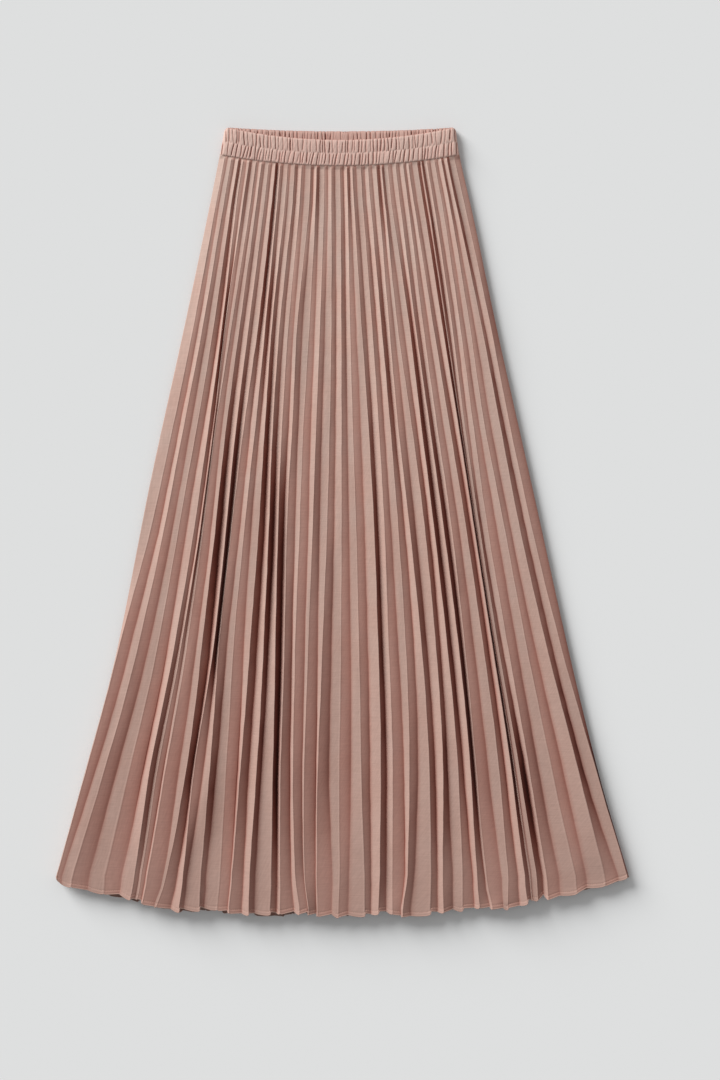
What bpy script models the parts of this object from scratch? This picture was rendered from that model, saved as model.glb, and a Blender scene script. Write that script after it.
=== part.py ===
"""Pleated A-line maxi skirt, laid flat on its back panel.

Metres, +Z up. The waist points towards +Y and the front panel faces +Z. The origin is
the middle of the underside's bounding box. "Down" is a distance from the waist's top
edge towards the hem, and "across" runs from 0 at the left side to 1 at the right side.
"""

import math
from collections import namedtuple

import bmesh
import bpy

LENGTH = 0.984  # waist's top edge to the lowest point of the hem

# The flattened outline: how far each side lies from the middle line.
Side = namedtuple("Side", "down left right")
OUTLINE = (
    Side(down=0.000, left=0.146, right=0.141),
    Side(down=0.036, left=0.153, right=0.146),
    Side(down=0.116, left=0.169, right=0.164),
    Side(down=0.254, left=0.198, right=0.193),
    Side(down=0.441, left=0.239, right=0.235),
    Side(down=0.666, left=0.284, right=0.285),
    Side(down=0.816, left=0.324, right=0.322),
    Side(down=0.935, left=0.357, right=0.357),
)

# The hem sweeps down from both corners to the middle.
Hem = namedtuple("Hem", "across down")
HEM_LINE = (
    Hem(across=0.00, down=0.935),
    Hem(across=0.06, down=0.953),
    Hem(across=0.17, down=0.971),
    Hem(across=0.30, down=0.980),
    Hem(across=0.50, down=0.9818),
    Hem(across=0.68, down=0.977),
    Hem(across=0.82, down=0.966),
    Hem(across=0.92, down=0.953),
    Hem(across=1.00, down=0.935),
)
HEM_SCALLOP = 0.002  # a pleat's ridge reaches this much lower than its valleys

# The waist's curved lines, as the drop at the sides and at the middle.
SEAM_AT_SIDE = 0.036
SEAM_AT_MIDDLE = 0.050
FRONT_TOP_AT_SIDE = 0.001
FRONT_TOP_AT_MIDDLE = 0.017
BACK_TOP_AT_SIDE = 0.000
BACK_TOP_AT_MIDDLE = 0.005

# Each front pleat's ridge, in thousandths of the panel's width at six heights, and the
# share of the gap to the next ridge that its shaded face takes.
HEIGHTS = (0.091, 0.241, 0.491, 0.641, 0.791, 0.935)
Pleat = namedtuple("Pleat", "waist hip thigh knee calf hem shaded")
PLEATS = (
    Pleat(24, 30, 26, 4, 2, 2, 0.53),
    Pleat(53, 60, 59, 46, 38, 28, 0.50),
    Pleat(82, 94, 95, 89, 86, 85, 0.56),
    Pleat(102, 121, 134, 127, 126, 137, 0.68),
    Pleat(127, 131, 149, 142, 141, 149, 0.60),
    Pleat(156, 152, 156, 154, 156, 159, 0.62),
    Pleat(179, 178, 186, 187, 197, 192, 0.55),
    Pleat(209, 207, 213, 214, 212, 222, 0.50),
    Pleat(237, 237, 227, 225, 242, 253, 0.50),
    Pleat(258, 260, 259, 257, 273, 286, 0.60),
    Pleat(288, 281, 294, 294, 302, 307, 0.48),
    Pleat(317, 306, 319, 324, 334, 338, 0.42),
    Pleat(345, 334, 342, 350, 365, 376, 0.60),
    Pleat(382, 362, 364, 370, 380, 391, 0.62),
    Pleat(406, 401, 396, 394, 404, 418, 0.65),
    Pleat(438, 435, 429, 423, 426, 434, 0.64),
    Pleat(466, 471, 465, 455, 453, 455, 0.52),
    Pleat(501, 503, 501, 496, 495, 495, 0.50),
    Pleat(529, 531, 537, 536, 538, 539, 0.46),
    Pleat(552, 567, 582, 579, 577, 565, 0.46),
    Pleat(586, 601, 608, 602, 600, 587, 0.56),
    Pleat(616, 631, 642, 640, 633, 613, 0.48),
    Pleat(649, 656, 670, 675, 672, 655, 0.47),
    Pleat(671, 682, 708, 707, 699, 675, 0.44),
    Pleat(696, 720, 731, 732, 728, 710, 0.50),
    Pleat(729, 740, 755, 757, 752, 735, 0.62),
    Pleat(760, 765, 775, 771, 763, 751, 0.52),
    Pleat(782, 797, 811, 812, 808, 789, 0.54),
    Pleat(818, 826, 831, 832, 831, 818, 0.70),
    Pleat(836, 839, 836, 837, 838, 828, 0.30),
    Pleat(859, 858, 845, 845, 847, 839, 0.46),
    Pleat(891, 884, 865, 866, 866, 856, 0.46),
    Pleat(919, 915, 907, 908, 910, 907, 0.40),
    Pleat(943, 952, 945, 952, 961, 958, 0.42),
    Pleat(976, 981, 975, 984, 996, 997, 0.58),
)
THOUSANDTHS = 1000

# Heights above the surface. The panels meet at a middle level that climbs to the hem.
MIDDLE_AT_WAIST = 0.0066
MIDDLE_AT_HEM = 0.0080
RIDGE_AT_WAIST = 0.0063  # the front ridges above the middle level
RIDGE_AT_HEM = 0.0125
STEEPEST = 1.4  # rise over run of the steepest pleat face
FLAT_SHARE = 0.30  # share of the face beside it that a back pleat's flat fold takes

PANEL_WALL = 0.0022  # straight up, so about 1.5 mm through a sloping face
BAND_WALL = 0.0028
SEAM_GAP = 0.0003
CHANNEL_RISE = 0.0010  # how far each elastic channel puffs up
MOUTH_HALF = 0.00325  # half the height of the waist's open mouth
SIDE_ROUNDNESS = 4  # exponent of the rounded side folds of the band

PANEL_ROWS = (0.0, 0.07, 0.16, 0.27, 0.38, 0.50, 0.62, 0.74, 0.86, 0.95, 1.0)
BAND_ROWS = 8
BAND_COLUMNS = 24
SIDE_CROWDING = 1.35  # draws the band's columns towards its rounded sides

CREASE_ANGLE = math.radians(15)


def clear_scene():
    for old in list(bpy.data.objects):
        bpy.data.objects.remove(old, do_unlink=True)


def cloth_material(name, colour, roughness):
    material = bpy.data.materials.new(name)
    material.use_nodes = True
    shader = material.node_tree.nodes["Principled BSDF"]
    shader.inputs["Base Color"].default_value = (*colour, 1.0)
    shader.inputs["Roughness"].default_value = roughness
    shader.inputs["Metallic"].default_value = 0.0
    return material


def blend(low, high, share):
    return low + (high - low) * share


def smooth_curve(places, values, at):
    """A curve through the values, with no corner at the places, level beyond both ends."""
    if at <= places[0]:
        return values[0]
    if at >= places[-1]:
        return values[-1]
    step = max(i for i, place in enumerate(places) if place <= at)
    before = max(step - 1, 0)
    after = min(step + 2, len(places) - 1)
    span = places[step + 1] - places[step]
    share = (at - places[step]) / span
    slope_in = (values[step + 1] - values[before]) / (places[step + 1] - places[before])
    slope_out = (values[after] - values[step]) / (places[after] - places[step])
    eased = share * share * (3 - 2 * share)
    start_swing = share * (1 - share) ** 2 * span * slope_in
    end_swing = share * share * (1 - share) * span * slope_out
    return blend(values[step], values[step + 1], eased) + start_swing - end_swing


def x_at(across, down):
    """The x of a share of the skirt's width, at a height."""
    downs = [side.down for side in OUTLINE]
    left = smooth_curve(downs, [side.left for side in OUTLINE], down)
    right = smooth_curve(downs, [side.right for side in OUTLINE], down)
    return blend(-left, right, across)


def bowed(at_side, at_middle, across):
    """A waist line that sinks in a shallow bow from the sides to the middle."""
    return blend(at_middle, at_side, (2 * across - 1) ** 2)


def hem_down(across):
    return smooth_curve([h.across for h in HEM_LINE], [h.down for h in HEM_LINE], across)


def middle_level(down):
    return blend(MIDDLE_AT_WAIST, MIDDLE_AT_HEM, down / LENGTH)


def front_creases(down):
    """The front's creases left to right at a height, as (kind, across)."""
    places = [pleat[: len(HEIGHTS)] for pleat in PLEATS]
    ridges = [smooth_curve(HEIGHTS, place, down) / THOUSANDTHS for place in places]
    creases = [("side", 0.0)]
    for pleat, ridge, next_ridge in zip(PLEATS, ridges, ridges[1:]):
        creases.append(("ridge", ridge))
        creases.append(("valley", blend(ridge, next_ridge, pleat.shaded)))
    return [*creases, ("ridge", ridges[-1]), ("side", 1.0)]


def back_creases(down):
    """The same cut turned over, with each outer fold pressed to a flat strip."""
    turned = [(kind, 1 - across) for kind, across in reversed(front_creases(down))]
    creases = []
    for index, (kind, across) in enumerate(turned):
        if kind != "ridge":
            creases.append((kind, across))
            continue
        before = across - turned[index - 1][1]
        after = turned[index + 1][1] - across
        half = FLAT_SHARE * min(before, after)
        creases.append(("flat", across - half))
        creases.append(("flat", across + half))
    return creases


def panel_row(creases_at, share):
    """(kind, x, down) of every crease, a share of the way from the seam to the hem."""
    row = []
    first_guess = creases_at(blend(SEAM_AT_MIDDLE, LENGTH, share))
    for index, (kind, across) in enumerate(first_guess):
        top = bowed(SEAM_AT_SIDE, SEAM_AT_MIDDLE, across) + SEAM_GAP / 2
        bottom = hem_down(across)
        if kind in ("ridge", "flat"):
            bottom += HEM_SCALLOP
        down = blend(top, bottom, share)
        row.append((kind, x_at(creases_at(down)[index][1], down), down))
    return row


def face_width(row, index):
    """The narrower of the two faces beside a crease."""
    return min(row[index][1] - row[index - 1][1], row[index + 1][1] - row[index][1])


def place_y(down):
    return LENGTH / 2 - down


def front_row(share):
    row = panel_row(front_creases, share)
    points = []
    for index, (kind, x, down) in enumerate(row):
        z = middle_level(down) + SEAM_GAP / 2 + PANEL_WALL
        if kind == "ridge":
            top = middle_level(down) + blend(RIDGE_AT_WAIST, RIDGE_AT_HEM, down / LENGTH)
            z = min(top, z + STEEPEST * face_width(row, index))
        points.append((x, place_y(down), z))
    return points


def back_row(share):
    row = panel_row(back_creases, share)
    points = []
    for index, (kind, x, down) in enumerate(row):
        z = PANEL_WALL
        if kind != "flat":
            z = middle_level(down) - SEAM_GAP / 2
        if kind == "valley":
            z = min(z, PANEL_WALL + STEEPEST * face_width(row, index))
        points.append((x, place_y(down), z))
    return points


def band_places():
    """Shares across the band, crowded towards its rounded sides."""
    for column in range(BAND_COLUMNS + 1):
        signed = 2 * column / BAND_COLUMNS - 1
        crowded = 1 - (1 - abs(signed)) ** SIDE_CROWDING
        yield (1 + math.copysign(crowded, signed)) / 2


def side_arch(across):
    """1 over the band's middle, falling round to 0 at its side folds."""
    return (1 - abs(2 * across - 1) ** SIDE_ROUNDNESS) ** (1 / SIDE_ROUNDNESS)


def channel_puff(share):
    """0 at the band's edges and its stitch line, 1 over the two elastic channels."""
    return min(1.0, 1.45 * abs(math.sin(2 * math.pi * share)))


def band_row(share, top_at_side, top_at_middle, height_at):
    points = []
    for across in band_places():
        top = bowed(top_at_side, top_at_middle, across)
        bottom = bowed(SEAM_AT_SIDE, SEAM_AT_MIDDLE, across) - SEAM_GAP / 2
        down = blend(top, bottom, share)
        points.append((x_at(across, down), place_y(down), height_at(across, share, down)))
    return points


def front_band_height(across, share, down):
    inside = middle_level(down) + SEAM_GAP / 2 + MOUTH_HALF * side_arch(across)
    return inside + CHANNEL_RISE * channel_puff(share) + BAND_WALL


def back_band_height(across, share, down):
    lowest = BAND_WALL + CHANNEL_RISE
    lift = (middle_level(down) - SEAM_GAP / 2 - lowest) * (1 - side_arch(across))
    return lowest - CHANNEL_RISE * channel_puff(share) + lift


def cloth_wall(name, rows, wall, material):
    """A sheet through the rows of points, thickened straight down into a closed wall."""
    mesh = bpy.data.meshes.new(name)
    shell = bmesh.new()
    grid = [[shell.verts.new(point) for point in row] for row in rows]
    for upper, lower in zip(grid, grid[1:]):
        for a, b, c, d in zip(upper, upper[1:], lower[1:], lower):
            shell.faces.new((a, d, c, b))
    grown = bmesh.ops.extrude_face_region(shell, geom=shell.faces[:])
    under = [part for part in grown["geom"] if isinstance(part, bmesh.types.BMVert)]
    bmesh.ops.translate(shell, verts=under, vec=(0, 0, -wall))
    bmesh.ops.recalc_face_normals(shell, faces=shell.faces[:])
    shell.to_mesh(mesh)
    shell.free()
    mesh.shade_smooth()
    mesh.set_sharp_from_angle(angle=CREASE_ANGLE)
    mesh.materials.append(material)
    bpy.context.collection.objects.link(bpy.data.objects.new(name, mesh))


def make_front_panel():
    cloth = cloth_material("front cloth", (0.52, 0.34, 0.28), 0.70)
    rows = [front_row(share) for share in PANEL_ROWS]
    cloth_wall("front_panel", rows, PANEL_WALL, cloth)


def make_back_panel():
    cloth = cloth_material("back cloth", (0.46, 0.30, 0.25), 0.70)
    rows = [back_row(share) for share in PANEL_ROWS]
    cloth_wall("back_panel", rows, PANEL_WALL, cloth)


def make_band(name, colour, top_at_side, top_at_middle, height_at):
    cloth = cloth_material(name + " cloth", colour, 0.75)
    shares = [row / BAND_ROWS for row in range(BAND_ROWS + 1)]
    rows = [band_row(s, top_at_side, top_at_middle, height_at) for s in shares]
    cloth_wall(name, rows, BAND_WALL, cloth)


def main():
    clear_scene()
    make_front_panel()
    make_back_panel()
    make_band(
        "waistband_front",
        (0.50, 0.33, 0.27),
        FRONT_TOP_AT_SIDE,
        FRONT_TOP_AT_MIDDLE,
        front_band_height,
    )
    make_band(
        "waistband_back",
        (0.44, 0.28, 0.23),
        BACK_TOP_AT_SIDE,
        BACK_TOP_AT_MIDDLE,
        back_band_height,
    )


main()
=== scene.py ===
"""The looks of a dusty rose, sunray-pleated maxi skirt with a ruched elastic waistband.

The skirt lies flat on a pale table and is seen from straight above. Metres, +Z up, waist
towards +Y. "Down" is a distance from the waist's top edge towards the hem. "Across" runs
from 0 at the left side to 1 at the right side of the front.
"""

import math
from collections import namedtuple

import bmesh
import bpy
import numpy as np
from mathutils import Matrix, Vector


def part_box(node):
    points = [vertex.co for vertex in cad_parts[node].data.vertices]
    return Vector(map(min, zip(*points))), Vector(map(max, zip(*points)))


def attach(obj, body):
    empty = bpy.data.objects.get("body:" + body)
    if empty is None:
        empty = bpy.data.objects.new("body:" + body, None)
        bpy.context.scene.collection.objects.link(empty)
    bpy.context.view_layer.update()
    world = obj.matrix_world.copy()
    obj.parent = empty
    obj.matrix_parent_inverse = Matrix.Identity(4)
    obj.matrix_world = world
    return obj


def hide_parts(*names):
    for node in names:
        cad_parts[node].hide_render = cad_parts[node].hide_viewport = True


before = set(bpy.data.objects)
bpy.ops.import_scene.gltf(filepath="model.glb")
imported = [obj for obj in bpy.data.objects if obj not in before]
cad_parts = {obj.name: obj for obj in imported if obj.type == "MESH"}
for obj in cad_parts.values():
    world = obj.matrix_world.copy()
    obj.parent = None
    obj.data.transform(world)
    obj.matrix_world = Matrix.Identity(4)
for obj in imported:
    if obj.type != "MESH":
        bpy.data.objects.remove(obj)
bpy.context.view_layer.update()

MM = 0.001

# ---------------------------------------------------------------- sizes of the skirt

WAIST_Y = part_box("waistband_back")[1][1]  # the waist's top edge
LENGTH = 0.984

Side = namedtuple("Side", "down left right")
OUTLINE = (
    Side(down=0.000, left=0.146, right=0.141),
    Side(down=0.036, left=0.153, right=0.146),
    Side(down=0.116, left=0.169, right=0.164),
    Side(down=0.254, left=0.198, right=0.193),
    Side(down=0.441, left=0.239, right=0.235),
    Side(down=0.666, left=0.284, right=0.285),
    Side(down=0.816, left=0.324, right=0.322),
    Side(down=0.935, left=0.357, right=0.357),
)

Hem = namedtuple("Hem", "across down")
HEM_LINE = (
    Hem(across=0.000, down=0.9352),
    Hem(across=0.012, down=0.9425),
    Hem(across=0.060, down=0.9525),
    Hem(across=0.170, down=0.9705),
    Hem(across=0.300, down=0.9800),
    Hem(across=0.500, down=0.9818),
    Hem(across=0.680, down=0.9770),
    Hem(across=0.820, down=0.9660),
    Hem(across=0.920, down=0.9530),
    Hem(across=1.000, down=0.9352),
)

SEAM_AT_SIDE = 0.036
SEAM_AT_MIDDLE = 0.050
FRONT_TOP_AT_SIDE = 0.001
FRONT_TOP_AT_MIDDLE = 0.017
BACK_TOP_AT_SIDE = 0.000
BACK_TOP_AT_MIDDLE = 0.005

# One row for each pleat of the front, from left to right. Ridges, shaded faces and hems are
# read one by one; depth and rise are judged from how dark each pleat looks. All but hem are
# given at their own HEIGHTS, which are distances down in metres.
# ridge   its place in thousandths of the width
# shaded  how much of the gap to the next ridge its shaded face takes, in hundredths
# depth   how deep the valley after it looks, from 0 to 100
# hem     how far its hem hangs below the hem line, in mm, at the ridge, just behind the
#         ridge and at the valley after it
# rise    the ridge's height, in hundredths of what its cloth allows
RIDGE_HEIGHTS = (0.091, 0.241, 0.366, 0.491, 0.641, 0.791, 0.935, 0.972)
SHADED_HEIGHTS = (0.091, 0.241, 0.491, 0.791, 0.935)
DEPTH_HEIGHTS = (0.091, 0.225, 0.491, 0.830)
RISE_HEIGHTS = (0.241, 0.420, 0.850)
Pleat = namedtuple("Pleat", "ridge shaded depth hem rise", defaults=[(100, 100, 100)])
PLEATS = (
    Pleat(
        (24, 30, 31, 26, 4, 2, 2, 2),
        (41, 54, 61, 53, 31),
        (35, 50, 45, 25),
        (1.5, 2, 2.5),
        rise=(100, 55, 50),
    ),
    Pleat((53, 60, 61, 59, 46, 38, 28, 23), (51, 47, 58, 50, 51), (70, 55, 50, 45), (2.8, 2, 0)),
    Pleat((82, 94, 98, 95, 89, 86, 85, 82), (50, 60, 51, 67, 56), (85, 90, 55, 38), (0, -0.5, -5)),
    Pleat(
        (102, 121, 131, 134, 127, 126, 137, 128),
        (64, 71, 66, 66, 68),
        (45, 80, 66, 52),
        (-0.6, -3.5, -4.7),
    ),
    Pleat(
        (127, 131, 145, 149, 142, 141, 149, 140),
        (42, 56, 47, 75, 70),
        (75, 35, 45, 35),
        (-4.5, -4.5, -4.5),
        rise=(100, 85, 62),
    ),
    Pleat((156, 152, 151, 156, 154, 156, 159, 150), (52, 49, 66, 64, 86), (60, 45, 35, 35), (0, 0.5, 0)),
    Pleat((179, 178, 180, 186, 187, 197, 192, 175), (48, 46, 47, 79, 63), (60, 70, 100, 86), (1.1, 1, 0.5)),
    Pleat((209, 207, 208, 213, 214, 212, 222, 216), (49, 41, 56, 60, 22), (70, 70, 100, 55), (3.5, -2.5, -2)),
    Pleat((237, 237, 230, 227, 225, 242, 253, 251), (42, 44, 64, 42, 26), (100, 95, 50, 62), (0, -6.4, -5)),
    Pleat(
        (258, 260, 262, 259, 257, 273, 286, 282),
        (40, 53, 47, 78, 87),
        (60, 90, 55, 50),
        (-2.9, -2.5, -4.2),
    ),
    Pleat((288, 281, 288, 294, 294, 302, 307, 302), (37, 47, 50, 50, 64), (55, 75, 100, 85), (0, 0, -1.1)),
    Pleat((317, 306, 310, 319, 324, 334, 338, 337), (43, 51, 50, 30, 26), (85, 60, 100, 75), (1.1, -2, -1.5)),
    Pleat(
        (345, 334, 336, 342, 350, 365, 376, 374),
        (37, 60, 62, 60, 63),
        (45, 40, 96, 100),
        (0.6, -3.8, -2.5),
    ),
    Pleat(
        (382, 362, 365, 364, 370, 380, 391, 391),
        (47, 44, 64, 75, 72),
        (85, 45, 70, 80),
        (-1.4, -1.4, -5.2),
    ),
    Pleat((406, 401, 396, 396, 394, 404, 418, 425), (38, 50, 65, 85, 92), (75, 60, 50, 55), (-0.3, -2, -4.7)),
    Pleat((438, 435, 432, 429, 423, 426, 434, 441), (50, 42, 47, 87, 90), (60, 60, 65, 75), (0.3, -1, -2.2)),
    Pleat((466, 471, 470, 465, 455, 453, 455, 456), (43, 47, 48, 52, 68), (60, 80, 75, 50), (1.5, 1.5, -1.6)),
    Pleat((501, 503, 503, 501, 496, 495, 495, 493), (50, 53, 50, 53, 36), (85, 85, 60, 60), (4, 2.2, -0.4)),
    Pleat((529, 531, 534, 537, 536, 538, 539, 539), (47, 52, 46, 44, 43), (85, 50, 65, 85), (3, -2, -0.6)),
    Pleat((552, 567, 578, 582, 579, 577, 565, 563), (43, 46, 38, 48, 54), (50, 80, 96, 92), (0, -4, -3.5)),
    Pleat((586, 601, 607, 608, 602, 600, 587, 587), (48, 50, 47, 66, 82), (80, 85, 60, 55), (0.8, 0.8, 2)),
    Pleat((616, 631, 639, 642, 640, 633, 613, 605), (46, 53, 56, 43, 29), (70, 90, 80, 70), (4.2, 3.8, 3)),
    Pleat((649, 656, 661, 670, 675, 672, 655, 653), (53, 60, 40, 41, 55), (95, 50, 80, 88), (3.7, -1.3, 0)),
    Pleat((671, 682, 699, 708, 707, 699, 675, 676), (38, 50, 48, 32, 51), (60, 60, 88, 76), (2.2, 1, -1.6)),
    Pleat((696, 720, 726, 731, 732, 728, 710, 709), (52, 54, 44, 42, 69), (65, 90, 92, 84), (2.4, -2, -1)),
    Pleat((729, 740, 749, 755, 757, 752, 735, 739), (48, 53, 54, 69, 82), (75, 70, 90, 76), (0, 0, 0)),
    Pleat((760, 765, 770, 775, 771, 763, 751, 761), (48, 52, 50, 51, 69), (75, 65, 55, 45), (3.7, 3.3, 2.6)),
    Pleat((782, 797, 805, 811, 812, 808, 789, 788), (39, 45, 56, 48, 59), (45, 75, 85, 80), (6.6, 3.7, 3)),
    Pleat((818, 826, 830, 831, 832, 831, 818, 823), (60, 74, 70, 72, 80), (95, 88, 62, 52), (2.5, -3, -2.5)),
    Pleat(
        (836, 839, 837, 836, 837, 838, 828, 832),
        (44, 49, 22, 22, 19),
        (90, 80, 30, 30),
        (-1, -1, -1),
        rise=(90, 72, 72),
    ),
    Pleat(
        (859, 858, 849, 845, 845, 847, 839, 841),
        (41, 50, 34, 58, 60),
        (60, 65, 50, 100),
        (0, -1, -6),
        rise=(95, 70, 75),
    ),
    Pleat((891, 884, 873, 865, 866, 866, 856, 860), (47, 48, 53, 42, 41), (70, 50, 50, 45), (2, 1, -1.5)),
    Pleat((919, 915, 904, 907, 908, 910, 907, 911), (42, 41, 39, 41, 35), (85, 50, 65, 50), (1.9, 0, -2.9)),
    Pleat((943, 952, 948, 945, 952, 961, 958, 958), (33, 37, 51, 31, 58), (45, 75, 85, 50), (1.5, 1, -0.7)),
    Pleat(
        (976, 981, 975, 975, 984, 996, 997, 993),
        (58, 44, 44, 67, 75),
        (70, 80, 70, 40),
        (0, 0, 0),
        rise=(100, 65, 35),
    ),
)
THOUSANDTHS = 1000
HUNDREDTHS = 100
FACES = 2 * len(PLEATS)

# Heights above the table. The front and back panels meet at a level that climbs to the hem.
MIDDLE_AT_WAIST = 6.6 * MM
MIDDLE_AT_HEM = 8.0 * MM
PANEL_CLEARANCE = 0.6 * MM  # half the daylight between the two panels' valleys
CLOTH = 0.45 * MM  # the crepe's thickness
FULLNESS = 1.50  # cloth in a pleat's two faces over the width they cover
LEAST_RISE = 0.30  # a flattened face still rises this share of its width
HIGHEST_RIDGE = 12.5 * MM
VALLEY_LEAST = 0.045  # even the shallowest valley goes down this share of its pleat,
VALLEY_MOST = 0.95  # and the deepest one this share
DEPTH_POWER = 3.4  # so that only the darkest pleats are really deep
WAIST_RELIEF = 0.80  # at the waist every valley has this share of its depth,
RELIEF_LENGTH = 0.30  # growing to all of it this far down
HEM_OPENING = 0.45  # towards the hem the folds open and lose this share of their depth,
OPENING_START = 0.80  # from this far down
RISING_CURVE = 1.35  # a steep face steepens up to its ridge,
FALLING_CURVE = 1.55  # and drops sharply behind it, then levels out to the valley,
GENTLE_FALL = 0.80  # while a gentle one falls faster and faster to a crisp valley
FLOOR_CLEARANCE = 0.2 * MM
WAVER = 0.30 * MM  # how far a crease wanders from its line
WAVER_LENGTH = 70 * MM
WAVER_PACE = 6  # how far the ripple's own coordinate runs over that length
BOW = 0.35 * MM  # how far a face bows between its creases
BOW_LENGTH = 110 * MM
BOW_PACE = 2
UNEVEN_RIDGES = 0.06  # how far a ridge's height wanders, beside the height
UNEVEN_LENGTH = 0.16
CREASE_STEP = 2.3  # steps of a ripple's second coordinate, so that no two creases,
RIDGE_STEP = 1.9  # ridges
FACE_STEP = 3.1  # or faces are uneven in the same way
CREASE_NIP = 0.30 * MM  # the pressed edge stands up this much from the faces beside it
LEAST_WIDTH = 0.4 * MM  # of a face, where two creases nearly meet

GATHER_ZONE = 5.0 * MM  # below the seam, over which the gathers open into pleats
SEAM_TUCK = 2.0 * MM  # cloth that runs up inside the band
SEAM_LEVEL = 1.2 * MM  # the seam over the middle level, at the side folds
SEAM_LIFT = 3.7 * MM  # and its extra height over the middle of the waist
ARCH_POWER = 4  # how square the waist's arch is
SEAM_PUCKER = 0.4 * MM
SEAM_PUCKER_SIZE = (2.1 * MM, 9 * MM)  # across and down
GATHER_PUFF = 0.5 * MM  # how far the gathers swell,
PUFF_MIDDLE = 0.55  # this share of the gather zone down,
PUFF_SPREAD = 0.32
PUFF_CROWN = 1.6 * MM  # and in full only where they stand this far above the seam

HEM_TURN = 4.2 * MM  # width of the narrow turned hem
HEM_PLY = 0.30 * MM  # extra thickness of the turned cloth,
HEM_STEP = 0.8 * MM  # which grows over this distance
STITCH_DIP = 0.25 * MM  # how far the hem's stitching draws the cloth in
STITCH_DIP_WIDTH = 1.0 * MM
HEM_BEAD = 0.55 * MM  # radius of the rolled edge
HEM_WANDER = 0.3 * MM
NOOK_SHARE = 0.12  # of the shaded face, over which its hem steps up behind the ridge
NOOK_REACH = 14 * MM  # how far above the hem that step fades out
TIP_ROUND = 0.9 * MM  # a ridge's hem is blunt, not a point
TIP_SHARE = 0.12
HEM_BELLY = 0.9 * MM  # a lit face's hem hangs in a shallow curve

WAIST_ROWS = 16
WAIST_ROWS_REACH = 1.6 * GATHER_ZONE
BODY_ROWS = 66
HEM_ROWS = 14
HEM_ROWS_REACH = 2.2 * HEM_TURN
RISING_STEPS = (0.0, 0.07, 0.28, 0.58, 0.86, 0.95)
FALLING_STEPS = (0.0, 0.05, 0.13, 0.40, 0.72, 0.93)

# The cloth gets painted shade down inside a pleat, by its face's slope, from GENTLE to
# STEEP. The painted shade starts sharply behind the ridge. A gentle face darkens mostly just
# before its valley, a steep one is nearly even, and the lit face after it grows light again.
GENTLE = 0.20
STEEP = 1.6
DEEPEST_TONE = 0.90  # of a steep face,
LEAST_TONE = 0.31  # and of a gentle one
RIDGE_TONES = (0.78, 0.82)  # a gentle and a steep face's at the ridge, beside its own,
VALLEY_TONES = (1.50, 0.96)  # and at the valley
VALLEY_CURVE = 2.6  # how late a gentle face darkens
UPWARD_FADES = (12.0, 2.4)  # how soon a gentle and a steep lit face grow light again
TONE_AT_WAIST = 0.86  # the painted shade grows from the waist to the hem, darker towards the hem
TONE_AT_HEM = 1.34

# ---------------------------------------------------------------- curves and noise

RIPPLE_OCTAVES = 4
RIPPLE_PACES = (0.7, 1.5)  # how fast the first octave's waves run
RIPPLE_GROWTH = 1.45  # how much faster each octave is than the last,
RIPPLE_FADING = 1.25  # and how much fainter
RIPPLE_CROSS = 0.6  # how far the waves slant
RIPPLE_PEAK = 1.9  # about what the octaves add up to


def blend(low, high, share):
    return low + (high - low) * share


def ease(share):
    share = np.clip(share, 0.0, 1.0)
    return share * share * (3 - 2 * share)


def smooth_curve(places, values, at):
    """A curve through the values, with no corner at the places, level beyond both ends."""
    places = np.asarray(places, float)
    values = np.asarray(values, float)
    slopes = np.empty(len(places))
    slopes[1:-1] = (values[2:] - values[:-2]) / (places[2:] - places[:-2])
    slopes[0] = (values[1] - values[0]) / (places[1] - places[0])
    slopes[-1] = (values[-1] - values[-2]) / (places[-1] - places[-2])
    at = np.clip(at, places[0], places[-1])
    step = np.clip(np.searchsorted(places, at, side="right") - 1, 0, len(places) - 2)
    span = places[step + 1] - places[step]
    share = (at - places[step]) / span
    start_swing = share * (1 - share) ** 2 * span * slopes[step]
    end_swing = share * share * (1 - share) * span * slopes[step + 1]
    return blend(values[step], values[step + 1], ease(share)) + start_swing - end_swing


def ripple(a, b, seed):
    """Smooth unevenness from about -1 to 1 over two coordinates, the same each run."""
    draw = np.random.default_rng(seed)
    total = 0.0
    for octave in range(RIPPLE_OCTAVES):
        pace_a, pace_b = draw.uniform(*RIPPLE_PACES, 2) * RIPPLE_GROWTH**octave
        turn_a, turn_b = draw.uniform(0, 2 * math.pi, 2)
        cross = draw.uniform(-RIPPLE_CROSS, RIPPLE_CROSS)
        wave_a = np.sin(pace_a * a + cross * b + turn_a)
        total = total + wave_a * np.sin(pace_b * b + turn_b) / RIPPLE_FADING**octave
    return total / RIPPLE_PEAK


# ---------------------------------------------------------------- the skirt's layout


def x_at(across, down):
    """x of a place this share across the skirt, this far down."""
    downs = [side.down for side in OUTLINE]
    left = smooth_curve(downs, [side.left for side in OUTLINE], down)
    right = smooth_curve(downs, [side.right for side in OUTLINE], down)
    return blend(-left, right, across)


def bowed(at_side, at_middle, across):
    """A waist line that sinks in a shallow bow from the sides to the middle."""
    return blend(at_middle, at_side, (2 * across - 1) ** 2)


def hem_down(across):
    return smooth_curve([h.across for h in HEM_LINE], [h.down for h in HEM_LINE], across)


def seam_down(across):
    return bowed(SEAM_AT_SIDE, SEAM_AT_MIDDLE, across)


def middle_level(down):
    return blend(MIDDLE_AT_WAIST, MIDDLE_AT_HEM, down / LENGTH)


def side_arch(across):
    """1 over the middle of the waist, falling round to 0 at its side folds."""
    outward = np.clip(np.abs(2 * across - 1), 0, 1)
    return (1 - outward**ARCH_POWER) ** (1 / ARCH_POWER)


def place_y(down):
    return WAIST_Y - down


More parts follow.
